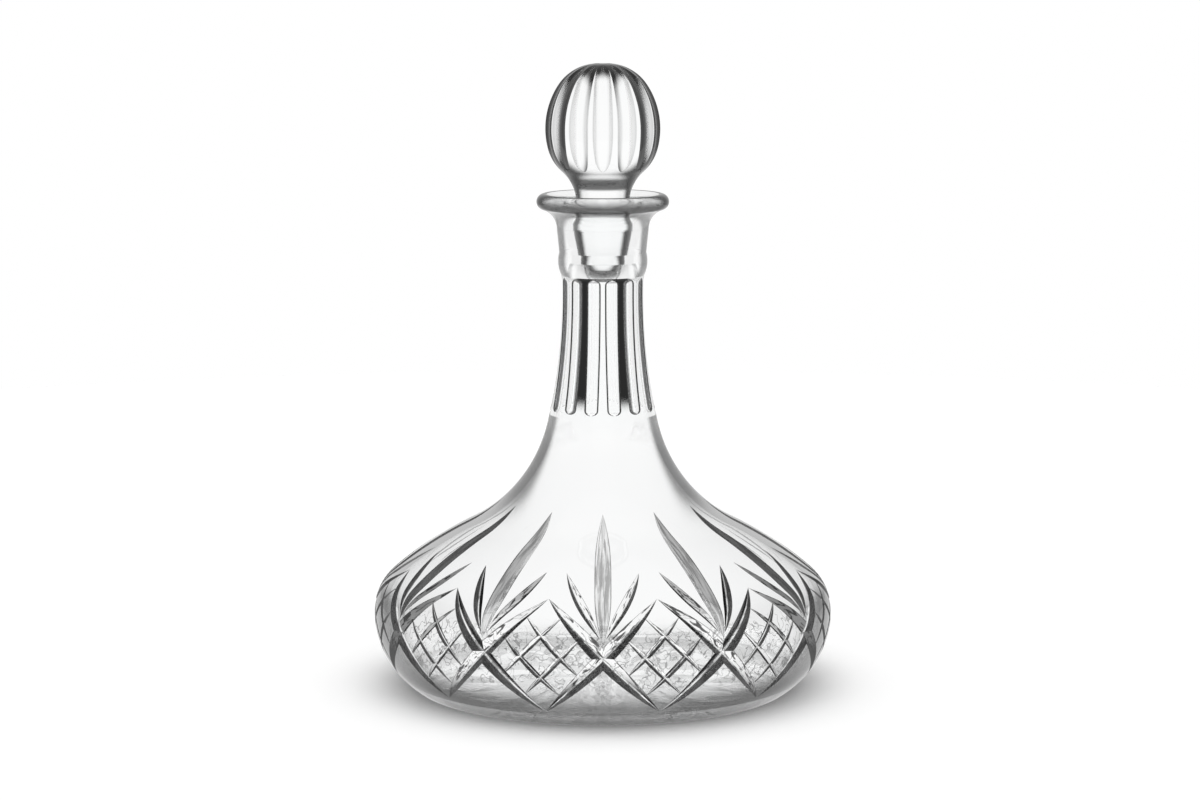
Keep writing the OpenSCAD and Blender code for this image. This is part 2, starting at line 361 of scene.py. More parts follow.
def vessel_outline():
    """The whole wall: out along the base, up the outside, over the lip and down the inside."""
    outside = bowl_arcs(0.0, 0.0, 0.0, NECK_TOP)
    inside = bowl_arcs(BELLY_WALL, WALL, FLOOR_THICKNESS, SEAT_LOW - SEAT_UNDERCUT)
    path = Outline((0.0, 0.0))
    centre, radius, foot, _ = outside[0]
    path.line(*(centre + radius * heading(foot)))
    path.mark("foot")
    path.arc(*outside[0])
    path.mark("belly")
    for arc in outside[1:]:
        path.arc(*arc)
    path.mark("neck_top")
    path.bulge(COLLAR_FOOT_RADIUS, NECK_TOP + BEAD_HEIGHT, BEAD_BULGE)
    path.line(COLLAR_RADIUS, FLARE_HEIGHT)
    flare = np.array([COLLAR_RADIUS + FLARE_CURVE, FLARE_HEIGHT])
    rim = LIP_THICKNESS / 2
    rim_angle = math.degrees(math.acos((LIP_RADIUS - rim - flare[0]) / (FLARE_CURVE + rim)))
    rim_centre = flare + (FLARE_CURVE + rim) * heading(rim_angle)
    path.arc(flare, FLARE_CURVE, 180.0, rim_angle)
    path.mark("rim_low")
    path.arc(rim_centre, rim, rim_angle - 180, rim_angle)
    path.mark("rim_top")
    path.arc(flare, FLARE_CURVE + LIP_THICKNESS, rim_angle, 180.0)
    path.mark("seat_top")
    path.line(MOUTH_RADIUS - (FLARE_HEIGHT - SEAT_LOW) * math.tan(SEAT_TAPER * DEG), SEAT_LOW)
    path.mark("seat_low")
    centre, radius, _, top = inside[-1]
    path.line(*(centre + radius * heading(top)))
    for centre, radius, start, end in reversed(inside):
        path.arc(centre, radius, end, start)
    path.line(0.0, FLOOR_THICKNESS)
    return path


def stopper_outline():
    """The solid stopper: out along the end of the peg, up the side and back in over the top."""
    peg = MOUTH_RADIUS - SEAT_CLEARANCE / math.cos(SEAT_TAPER * DEG)
    peg_low = SEAT_LOW - PEG_REACH
    band_top = FLARE_HEIGHT + PEG_BAND
    waist_x = STOPPER_WAIST_RADIUS + STOPPER_WAIST_CURVE
    band_angle = math.degrees(math.acos((waist_x - peg) / STOPPER_WAIST_CURVE))
    waist = np.array([waist_x, band_top + STOPPER_WAIST_CURVE * math.sin(band_angle * DEG)])
    ball_height = waist[1] + BALL_RISE
    side = np.array([BALL_RADIUS - BALL_SIDE_CURVE, ball_height])
    reach = BALL_TOP_RADIUS - side[0]
    spare = BALL_SIDE_CURVE**2 - reach**2 - BALL_CROWN**2
    crown = spare / (2 * (BALL_SIDE_CURVE - BALL_CROWN))
    crown_centre = np.array([BALL_TOP_RADIUS, ball_height + BALL_CROWN - crown])
    from_waist, from_side = STOPPER_WAIST_CURVE + BALL_LOWER_CURVE, BALL_SIDE_CURVE - BALL_LOWER_CURVE
    lower = meeting_point(waist, from_waist, side, from_side)
    side_start = angle_of(lower - side) - 360
    side_end = angle_of(crown_centre - side)
    waist_end = angle_of(lower - waist)
    path = Outline((0.0, peg_low))
    path.marks["ball_height"] = ball_height
    path.line(peg - (FLARE_HEIGHT - peg_low) * math.tan(SEAT_TAPER * DEG), peg_low)
    path.mark("peg_low")
    path.line(peg, FLARE_HEIGHT)
    path.mark("peg_top")
    path.line(peg, band_top)
    path.arc(waist, STOPPER_WAIST_CURVE, 180 + band_angle, waist_end)
    path.mark("ball_low")
    path.arc(lower, BALL_LOWER_CURVE, waist_end - 180, side_start)
    path.marks["widest"] = path.length - side_start * DEG * BALL_SIDE_CURVE
    path.arc(side, BALL_SIDE_CURVE, side_start, side_end)
    path.mark("crown")
    path.arc(crown_centre, crown, side_end, 90.0)
    path.mark("top")
    path.line(0.0, ball_height + BALL_CROWN)
    return path


class Cut:
    """A cut along a straight line of (turn, along) places, with a mitre or a round bottom.

    depth(t) is the depth at a fraction t of the way. A mitre has a slope, a round cut a curvature.
    """

    def __init__(self, start, end, depth, slope=None, curvature=None):
        self.start = np.array(start, float)
        self.end = np.array(end, float)
        self.depth = depth
        self.slope = slope
        self.curvature = curvature

    def locate(self, outline, turn, along):
        """How far along the cut a place is, and its distance to the right of the cut's middle."""
        per_degree = outline.at(along)[0] * DEG
        run, rise = self.end - self.start
        x = turn - self.start[0]
        y = along - self.start[1]
        scale = (run * per_degree) ** 2 + rise**2
        t = (x * run * per_degree**2 + y * rise) / scale
        offset = (x * rise - y * run) * per_degree / np.sqrt(scale)
        return t, offset

    def depth_at(self, outline, turn, along, side=None):
        """The depth of the cut's surface. With a side, that flank is carried on past the middle."""
        t, offset = self.locate(outline, turn, along)
        if self.slope is not None:
            across = np.abs(offset) if side is None else side * offset
            return self.depth(t) - across * self.slope
        return self.depth(t) - self.curvature * offset**2 / 2

    def half_width(self, t):
        """Half the width of the cut at a fraction of the way."""
        depth = np.maximum(self.depth(t), 0.0)
        if self.slope is not None:
            return depth / self.slope
        return np.sqrt(2 * depth / self.curvature)

    def lines(self, outline, spacing):
        """The middle line and both edges of the cut, as lists of places."""
        run, rise = self.end - self.start
        middle = (self.start + self.end) / 2
        length = math.hypot(run * outline.at(middle[1])[0][0] * DEG, rise)
        count = max(LEAST_STEPS, int(length / spacing))
        t = (1 - np.cos(np.linspace(0, math.pi, count + 1))) / 2
        centre = self.start + t[:, None] * (self.end - self.start)
        per_degree = outline.at(centre[:, 1])[0] * DEG
        size = np.hypot(run * per_degree, rise)
        width = self.half_width(t)
        right = np.stack([rise / size / per_degree, -run * per_degree / size], -1)
        lines = [centre + width[:, None] * right, centre - width[:, None] * right]
        if self.slope is not None:
            lines.append(centre)
        return lines


def lens(depth, peak=0.5, power=2.0):
    """A depth that is greatest at a peak and runs out at both ends."""

    def profile(t):
        reach = np.where(t < peak, (peak - t) / peak, (t - peak) / (1 - peak))
        return depth * (1 - np.abs(reach) ** power)

    return profile


def blunt(depth, length, end):
    """A depth that is even, with short rounded ends."""

    def profile(t):
        past = (np.abs(t - 0.5) * length - (length / 2 - end)) / end
        return depth * (1 - np.maximum(past, 0.0) ** 2)

    return profile


def turned(r, z, turn):
    """The points at radii and heights, turned about the axis."""
    angle = turn * DEG
    return np.stack([r * np.sin(angle), -r * np.cos(angle), z], -1)


class Shell:
    """A mesh that is put together from patches, with its own normal at every corner of every face."""

    def __init__(self, outline, columns):
        self.outline = outline
        self.columns = columns
        self.points = []
        self.faces = []
        self.normals = []
        self.materials = []
        self.spots = []
        self.count = 0

    def place(self, turn, along, depth):
        """The points at some places, at a depth under the turned surface."""
        r, z, nr, nz = self.outline.at(along)
        return turned(r - depth * nr, z - depth * nz, turn)

    def patch(self, points, faces, normals, material, spots=0.0):
        """Adds faces of equal size, given as rows of point numbers, with a normal for each corner.

        The spot of a corner on a cut says how far it is from the edge, 0, to the middle, 1,
        its distance along the cut, and which flank it is on.
        """
        self.points.append(points)
        self.faces.extend((faces + self.count).tolist())
        self.normals.extend(normals.reshape(-1, 3).tolist())
        self.materials.extend(np.broadcast_to(material, len(faces)).tolist())
        self.spots.extend(np.broadcast_to(spots, faces.shape + (3,)).reshape(-1, 3).tolist())
        self.count += len(points)

    def bare_patch(self, turn, along, piece, faces, material):
        """Adds faces of the bare turned surface, on one piece of the outline."""
        r, z, nr, nz = self.outline.at(along, piece)
        self.patch(turned(r, z, turn), faces, turned(nr, nz, turn)[faces], material)

    def plain(self, start, end, material=CLEAR, step=PLAIN_STEP):
        """The bare turned surface between two distances along the outline."""
        columns = self.columns
        first = self.outline.piece_at(start + TINY)
        last = self.outline.piece_at(end - TINY)
        for piece in range(first, last + 1):
            low = max(start, self.outline.starts[piece])
            high = min(end, self.outline.starts[piece + 1])
            kind, data = self.outline.pieces[piece]
            span = high - low
            if kind == "arc":
                turn = span / data[1] / DEG
                rows = max(2, math.ceil(turn / ARC_STEP), math.ceil(span / step))
            else:
                rows = max(2, math.ceil(span / (step * LINE_STRETCH)))
            along = np.repeat(np.linspace(low, high, rows + 1), columns)
            turn = np.tile(np.arange(columns) * 360 / columns, rows + 1)
            row, here = np.divmod(np.arange(rows * columns), columns)
            below, above = row * columns, (row + 1) * columns
            right = (here + 1) % columns
            faces = np.stack([below + here, below + right, above + right, above + here], -1)
            self.bare_patch(turn, along, piece, faces, material)

    def stitch(self, start, end, material):
        """A narrow ring from a row of all columns to a row of half as many, which go on from there."""
        fine, coarse = self.columns, self.columns // 2
        turn = np.concatenate([np.arange(count) * 360 / count for count in (fine, coarse)])
        along = np.repeat([start, end], [fine, coarse])
        j = np.arange(coarse)
        a, b, c = 2 * j, 2 * j + 1, (2 * j + 2) % fine
        here, after = fine + j, fine + (j + 1) % coarse
        faces = [np.stack(corners, -1) for corners in ((a, b, here), (b, after, here), (b, c, after))]
        piece = self.outline.piece_at(start + TINY)
        self.bare_patch(turn, along, piece, np.concatenate(faces), material)
        self.columns = coarse

    def cut_belt(self, low, high, repeats, cuts, spacing, bare_material, cut_materials):
        """A belt of the surface with cuts in it, made from half a repeat and its mirror images.

        The cut materials are those of flanks that lean up, sideways and down, each with its own painted
        shade.
        """
        columns = self.columns // (2 * repeats)
        sector = cut_sector(self.outline, low, high, 180 / repeats, columns, cuts, spacing)
        turn, along, depth, faces, owner, side = sector
        normals = self.cut_normals(cuts, turn, along, faces, owner, side)
        points = self.place(turn, along, depth)
        spots, lean = self.flanks(cuts, turn, along, faces, owner, side)
        up, sideways, down = cut_materials
        material = np.where(lean > FLANK_LEAN, up, sideways)
        material = np.where(lean < -FLANK_LEAN, down, material)
        material = np.where(owner < 0, bare_material, material)
        for i in range(repeats):
            angle = i * 2 * math.pi / repeats
            cosine, sine = math.cos(angle), math.sin(angle)
            spin = np.array([[cosine, -sine, 0], [sine, cosine, 0], [0, 0, 1]])
            mirror = spin @ np.diag([-1.0, 1.0, 1.0])
            here = spots + [0, 0, 2 * i * FLANK_STEP]
            there = here[:, ::-1] + [0, 0, FLANK_STEP]
            self.patch(points @ spin.T, faces, normals @ spin.T, material, here)
            flipped = normals[:, ::-1] @ mirror.T
            self.patch(points @ mirror.T, faces[:, ::-1], flipped, material, there)

    def flanks(self, cuts, turn, along, faces, owner, side):
        """The spot of each corner on its cut, and how far each face leans up."""
        spots = np.zeros(faces.shape + (3,))
        lean = np.zeros(len(faces))
        for k, cut in enumerate(cuts):
            mine = owner == k
            corners = faces[mine].ravel()
            t, offset = cut.locate(self.outline, turn[corners], along[corners])
            width = np.maximum(cut.half_width(t), LEAST_LENGTH)
            run, rise = cut.end - cut.start
            run *= self.outline.at((cut.start[1] + cut.end[1]) / 2)[0][0] * DEG
            length = math.hypot(run, rise)
            spots[mine, :, 0] = np.clip(1 - np.abs(offset) / width, 0, 1).reshape(-1, 3)
            spots[mine, :, 1] = (t * length).reshape(-1, 3)
            spots[mine, :, 2] = (k + side[mine] * FLANK_SHIFT)[:, None]
            lean[mine] = side[mine] * run / length
        return spots, lean

    def cut_normals(self, cuts, turn, along, faces, owner, side):
        """The true normal at each corner of each face, from the surface that the face belongs to."""
        t, s = turn[faces].ravel(), along[faces].ravel()
        owner, side = np.repeat(owner, 3), np.repeat(side, 3)

        def spot(turned_to, gone):
            deep = np.zeros(len(t))
            for k, cut in enumerate(cuts):
                mine = owner == k
                deep[mine] = cut.depth_at(self.outline, turned_to[mine], gone[mine], side[mine])
            return self.place(turned_to, gone, deep)

        step = NORMAL_STEP / (np.maximum(self.outline.at(s)[0], LEAST_LENGTH) * DEG)
        across = spot(t + step, s) - spot(t - step, s)
        upward = spot(t, s + NORMAL_STEP) - spot(t, s - NORMAL_STEP)
        out = np.cross(across, upward)
        out /= np.linalg.norm(out, axis=1)[:, None]
        return out.reshape(-1, 3, 3)

    def build(self, name, glasses):
        """The finished object, in metres, with the patches welded together."""
        points = np.concatenate(self.points)
        grid = np.floor(points * WELD_GRID + WELD_SHIFT).astype(np.int64)
        _, first, index = np.unique(grid, axis=0, return_index=True, return_inverse=True)
        index = index.ravel()
        faces, normals, kinds, spots = [], [], [], []
        corner = 0
        for face, kind in zip(self.faces, self.materials):
            size = len(face)
            welded = [int(index[v]) for v in face]
            keep = [k for k in range(size) if welded[k] != welded[k - 1]]
            if len(keep) > 2:
                faces.append([welded[k] for k in keep])
                normals.extend(self.normals[corner + k] for k in keep)
                spots.extend(self.spots[corner + k] for k in keep)
                kinds.append(kind)
            corner += size
        mesh = bpy.data.meshes.new(name)
        mesh.from_pydata((points[first] * MM).tolist(), [], faces)
        mesh.polygons.foreach_set("material_index", kinds)
        mesh.polygons.foreach_set("use_smooth", [True] * len(faces))
        for glass in glasses:
            mesh.materials.append(glass.material)
        on_cut = mesh.attributes.new("on_cut", "FLOAT_VECTOR", "CORNER")
        on_cut.data.foreach_set("vector", np.ravel(spots))
        mesh.normals_split_custom_set(normals)
        mesh.update()
        return add_object(name, mesh)


def sector_border(low, high, half_turn, columns, spacing):
    """The places around half a repeat, one after the other."""
    height = max(LEAST_ROWS, round((high - low) / spacing))
    across = np.linspace(0, half_turn, columns + 1)
    upward = np.linspace(low, high, height + 1)
    border = [(t, low) for t in across]
    border += [(half_turn, s) for s in upward[1:]]
    border += [(t, high) for t in across[-2::-1]]
    border += [(0.0, s) for s in upward[-2:0:-1]]
    return border


def stretches_inside(line, low, high, half_turn):
    """The stretches of a line that lie in half a repeat or just beside it."""
    ok = (line[:, 0] > -half_turn / 3) & (line[:, 0] < half_turn * 4 / 3)
    ok &= (line[:, 1] > low) & (line[:, 1] < high)
    ends = np.flatnonzero(np.diff(np.concatenate([[0], ok.astype(int), [0]])))
    return [line[a:b] for a, b in zip(ends[::2], ends[1::2]) if b - a > 1]


def filling(outline, low, high, half_turn, spacing, lines):
    """Places in even rows over half a repeat, clear of its borders and of the lines in it."""
    places = []
    rows = int((high - low) / (spacing * ROW_SPACING))
    for row in range(1, rows):
        s = low + (high - low) * row / rows
        local = outline.at(s)[0][0] * DEG
        count = max(2, int(half_turn * local / spacing))
        shift = 0.5 if row % 2 else 0.0
        border = BORDER_CLEARANCE * spacing / local
        for k in range(count + 1):
            t = half_turn * (k + shift) / count
            if t < border or t > half_turn - border:
                continue
            gap = np.hypot((lines[:, 0] - t) * local, lines[:, 1] - s).min()
            if gap > LINE_CLEARANCE * spacing:
                places.append((t, s))
    return places


def snap_to_border(spots, low, high, half_turn, columns):
    """Moves places that are all but on the border onto it, and into the columns of its two rows."""
    for edge in (0.0, half_turn):
        spots[np.abs(spots[:, 0] - edge) < ON_BORDER, 0] = edge
    for row in (low, high):
        here = np.abs(spots[:, 1] - row) < ON_BORDER
        spots[here, 1] = row
        spots[here, 0] = np.round(spots[here, 0] * columns / half_turn) * half_turn / columns


def cut_sector(outline, low, high, half_turn, columns, cuts, spacing):
    """Triangles over (turn, along) from 0 to half a repeat, whose edges follow every edge of the cuts.

    Returns the turn, along and depth of each point, the triangles, and for each triangle the number
    of its cut, or -1 for the bare surface, and its flank.
    """
    scale = outline.at((low + high) / 2)[0][0] * DEG
    places = sector_border(low, high, half_turn, columns, spacing)
    edges = [(k, (k + 1) % len(places)) for k in range(len(places))]
    for cut in cuts:
        for line in cut.lines(outline, spacing):
            for stretch in stretches_inside(line, low, high, half_turn):
                start = len(places)
                places.extend(stretch)
                edges.extend((k, k + 1) for k in range(start, len(places) - 1))
    places.extend(filling(outline, low, high, half_turn, spacing, np.array(places)))
    result = delaunay_2d_cdt([Vector((t * scale, s)) for t, s in places], edges, [], 0, TINY)
    spots = np.array([(v[0] / scale, v[1]) for v in result[0]])
    faces = np.array(result[2])
    middle = spots[faces].mean(1)
    ok = (middle[:, 0] > ON_BORDER) & (middle[:, 0] < half_turn - ON_BORDER)
    ok &= (middle[:, 1] > low) & (middle[:, 1] < high)
    faces = faces[ok]
    snap_to_border(spots, low, high, half_turn, columns)
    spots, faces = split_where_cuts_meet(outline, cuts, spots, faces)
    a, b, c = (spots[faces[:, k]] for k in range(3))
    area = (b[:, 0] - a[:, 0]) * (c[:, 1] - a[:, 1]) - (b[:, 1] - a[:, 1]) * (c[:, 0] - a[:, 0])
    faces[area < 0] = faces[area < 0][:, ::-1]
    faces = faces[np.abs(area) > LEAST_AREA]
    depth = depths_of(outline, cuts, spots).max(1)
    middle = spots[faces].mean(1)
    owner = depths_of(outline, cuts, middle).argmax(1) - 1
    side = np.ones(len(faces), int)
    for k, cut in enumerate(cuts):
        mine = owner == k
        _, offset = cut.locate(outline, *middle[mine].T)
        side[mine] = np.where(offset < 0, -1, 1)
    return *spots.T, depth, faces, owner, side


def depths_of(outline, cuts, spots):
    """The depth of the bare surface, 0, and then of each cut, at each place."""
    depths = [cut.depth_at(outline, *spots.T) for cut in cuts]
    return np.stack([np.zeros(len(spots)), *depths], 1)


def split_where_cuts_meet(outline, cuts, spots, faces):
    """Splits triangles along the lines where two cuts are equally deep."""
    depth = depths_of(outline, cuts, spots)
    on = depth > depth.max(1)[:, None] - MEETING_SLACK
    spots = list(spots)
    crossings = {}

    def crossing(a, b):
        """The number of the place on an edge where the deepest cut changes, if it does."""
        a, b = sorted((a, b))
        if (a, b) not in crossings:
            crossings[a, b] = None
            if not (on[a] & on[b]).any():
                i, j = depth[a].argmax(), depth[b].argmax()
                p, q = spots[a], spots[b]
                lo, hi = 0.0, 1.0
                for _ in range(HALVINGS):
                    mid = (lo + hi) / 2
                    d = depths_of(outline, cuts, (p + mid * (q - p))[None])[0]
                    lo, hi = (mid, hi) if d[i] > d[j] else (lo, mid)
                crossings[a, b] = len(spots)
                spots.append(p + lo * (q - p))
        return crossings[a, b]

    result = []
    for a, b, c in faces.tolist():
        ring = [a, crossing(a, b), b, crossing(b, c), c, crossing(c, a)]
        found = [p for p in ring[1::2] if p is not None]
        if len(found) == 3:
            middle = len(spots)
            spots.append(np.mean([spots[p] for p in found], 0))
            result += [(middle, ring[k - 1], ring[k]) for k in range(6)]
            continue
        while found and (ring[1] is None or ring[3] is not None):
            ring = ring[2:] + ring[:2]
        ring = [p for p in ring[1:] + ring[:1] if p is not None]
        result += [(ring[0], ring[k], ring[k + 1]) for k in range(1, len(ring) - 1)]
    return np.array(spots), np.array(result)


def along_at(outline, start, end, axis, value):
    """The distance along a stretch of the outline at which its radius or height reaches a value."""
    along = np.linspace(start, end, SEARCH_STEPS)
    reached = outline.at(along)[axis]
    order = np.argsort(reached)
    return float(np.interp(value, reached[order], along[order]))


def mitre(start, end, half_width, **shape):
    """A cut with two flat flanks."""
    slope = 1 / math.tan(MITRE_HALF_ANGLE * DEG)
    return Cut(start, end, lens(half_width * slope, **shape), slope=slope)


def bowl_cuts(belly):
    """The mitre cuts of one motif: broad crossing cuts, fine hatching, a tall leaf and two side leaves."""
    half = 180 / MOTIFS
    rise, drop = belly + LATTICE_RISE, belly - LATTICE_DROP
    cuts = [
        mitre((-half, rise), (half, drop), LATTICE_HALF_WIDTH),
        mitre((half, rise), (-half, drop), LATTICE_HALF_WIDTH),
    ]
    for part in (1 / 3, 2 / 3):
        near, far = half * part, half + half * part
        up, down = LATTICE_RISE * part, LATTICE_DROP * part
        cuts.append(mitre((near, belly - down), (far, rise - up), HATCH_HALF_WIDTH))
        cuts.append(mitre((near, belly + up), (far, drop + down), HATCH_HALF_WIDTH))
    foot, tip = (0, belly + LEAF_FOOT), (0, belly + LEAF_TIP)
    cuts.append(mitre(foot, tip, LEAF_HALF_WIDTH, peak=LEAF_PEAK, power=LEAF_POWER))
    for side in (-1, 1):
        foot = (side * SIDE_LEAF_START, belly + SIDE_LEAF_FOOT)
        tip = (side * SIDE_LEAF_SPREAD, belly + SIDE_LEAF_TIP)
        cuts.append(mitre(foot, tip, SIDE_LEAF_HALF_WIDTH, peak=SIDE_LEAF_PEAK))
    return cuts


def neck_flute(outline, low, high):
    """One flute of the neck, with a round bottom and short rounded ends."""
    middle = outline.at((low + high) / 2)[0][0]
    half = 180 / NECK_FLUTES
    depth = blunt(NECK_FLUTE_DEPTH, high - low, NECK_FLUTE_END)
    return Cut((half, low), (half, high), depth, curvature=1 / NECK_FLUTE_RADIUS + 1 / middle)


def ball_flute(low, high, widest):
    """One flute of the ball, with a round bottom, deepest where the ball is widest."""
    depth = lens(BALL_FLUTE_DEPTH, peak=(widest - low) / (high - low))
    return Cut((0, low), (0, high), depth, curvature=1 / BALL_FLUTE_RADIUS + 1 / BALL_RADIUS)


def make_decanter(glasses):
    """The vessel, from the middle of its base up the outside, over the lip and down the inside."""
    outline = vessel_outline()
    marks = outline.marks
    shell = Shell(outline, COLUMNS)
    belly = marks["belly"]
    foot = marks["foot"]

    # Star cut under the foot
    star_low, star_high = STAR_HEART - STAR_MARGIN, STAR_RADIUS + STAR_MARGIN
    ray = mitre((0, STAR_HEART), (0, STAR_RADIUS), STAR_HALF_WIDTH)
    shell.plain(0, star_low)
    shell.cut_belt(star_low, star_high, STAR_RAYS, [ray], STAR_SPACING, CLEAR, [CLEAR] * 3)
    shell.plain(star_high, foot)

    # Cut bowl
    cut_low, cut_high = belly - LATTICE_DROP - BOWL_MARGIN, belly + LEAF_TIP + BOWL_MARGIN
    flanks = [DARK_FLANK, LEAF_FLANK, PALE_FLANK]
    shell.plain(foot, cut_low, FOOT)
    shell.cut_belt(cut_low, cut_high, MOTIFS, bowl_cuts(belly), CUT_SPACING, CLEAR, flanks)

    # Fluted neck
    neck_top = marks["neck_top"]
    low = along_at(outline, belly, neck_top, HEIGHT, NECK_FLUTE_LOW)
    high = along_at(outline, belly, neck_top, HEIGHT, NECK_FLUTE_HIGH)
    flute = neck_flute(outline, low, high)
    neck_low = low - NECK_MARGIN
    shell.plain(cut_high, neck_low)
    shell.cut_belt(neck_low, neck_top, NECK_FLUTES, [flute], NECK_SPACING, LAND, [FLUTE] * 3)

    # Bead, collar, lip and mouth
    shell.plain(neck_top, marks["rim_low"], step=LIP_STEP)
    shell.plain(marks["rim_low"], marks["rim_top"], RIM)
    shell.plain(marks["rim_top"], marks["seat_top"], INSIDE, step=LIP_STEP)

    # Ground seat, and the inside
    seat_low = marks["seat_low"]
    shell.plain(marks["seat_top"], seat_low, GROUND)
    shell.stitch(seat_low, seat_low + SEAT_RING, INSIDE)
    shell.plain(seat_low + SEAT_RING, outline.length, INSIDE)
    return shell.build("cut_decanter", glasses)


def make_stopper(glasses):
    """The stopper, from the middle of its peg's end up the side to the top of the ball."""
    outline = stopper_outline()
    marks = outline.marks
    shell = Shell(outline, STOPPER_COLUMNS)
    widest, top = marks["widest"], marks["top"]
    flute_low = marks["ball_height"] - BALL_FLUTE_DROP
    low = along_at(outline, marks["ball_low"], widest, HEIGHT, flute_low)
    high = along_at(outline, marks["crown"], top, RADIUS, BALL_TOP_RADIUS + BALL_FLUTE_MARGIN)
    flute = ball_flute(low, high, widest)
    ball_low = low - BALL_MARGIN
    shell.plain(0, marks["peg_low"])
    shell.plain(marks["peg_low"], marks["peg_top"], GROUND)
    shell.plain(marks["peg_top"], ball_low, step=WAIST_STEP)
    shell.cut_belt(ball_low, top, BALL_FLUTES, [flute], BALL_SPACING, CLEAR, [FLUTE] * 3)
    shell.plain(top, outline.length)
    return shell.build("fluted_stopper", glasses)


class Graph:
    """The shading nodes of a material or of the world."""

    def __init__(self, owner):
        owner.use_nodes = True
        self.nodes = owner.node_tree.nodes
        self.links = owner.node_tree.links
        self.nodes.clear()

    def add(self, kind, inputs=(), **settings):
        """A new node with its settings. Each input is given a plain value or another socket."""
        node = self.nodes.new("ShaderNode" + kind)
        for name, value in settings.items():
            setattr(node, name, value)
        for name, value in dict(inputs).items():
            if isinstance(value, bpy.types.NodeSocket):
                self.links.new(value, node.inputs[name])
            else:
                node.inputs[name].default_value = value
        return node

    def maths(self, operation, *values):
        """A number worked out from other numbers or sockets."""
        return self.add("Math", enumerate(values), operation=operation).outputs["Value"]

    def vector(self, operation, *values):
        """A vector worked out from other vectors or sockets."""
        return self.add("VectorMath", enumerate(values), operation=operation).outputs["Vector"]

    def product(self, result, *others):
        """The product of numbers or sockets."""
        for value in others:
            result = self.maths("MULTIPLY", result, value)
        return result

    def blend(self, value, low, high, start=0.0, end=1.0):
        """A soft step from a start to an end as a value goes from low to high."""
        inputs = {"Value": value, "From Min": low, "From Max": high, "To Min": start, "To Max": end}
        return self.add("MapRange", inputs, interpolation_type="SMOOTHSTEP").outputs["Result"]

    def part(self, vector, axis):
        """One of the three numbers of a vector."""
        return self.add("SeparateXYZ", {"Vector": vector}).outputs[axis]

    def outwards(self, place):
        """The level direction from the upright axis to a place."""
        return self.vector("NORMALIZE", self.vector("MULTIPLY", place, (1, 1, 0)))

    def noise(self, place, grain, detail=1.0, bend=0.0):
        """An uneven value between 0 and 1, with a grain for each axis."""
        scaled = self.vector("MULTIPLY", place, grain)
        inputs = {"Vector": scaled, "Scale": 1, "Detail": detail, "Distortion": bend}
        return self.add("TexNoise", inputs).outputs["Fac"]

    def seen_in_glass(self):
        """1 for what is seen in glass or through it, and 0 for the rest."""
        rays = self.add("LightPath").outputs
        return self.maths("MAXIMUM", rays["Is Glossy Ray"], rays["Is Transmission Ray"])

    def white_but_sides(self, place):
        """The level of the studio around the object: white ahead and behind, and greyer at both sides."""
        aside = self.maths("ABSOLUTE", self.part(self.outwards(place), "X"))
        return self.blend(aside, *sines(SIDES), 1, SIDE_LEVEL)


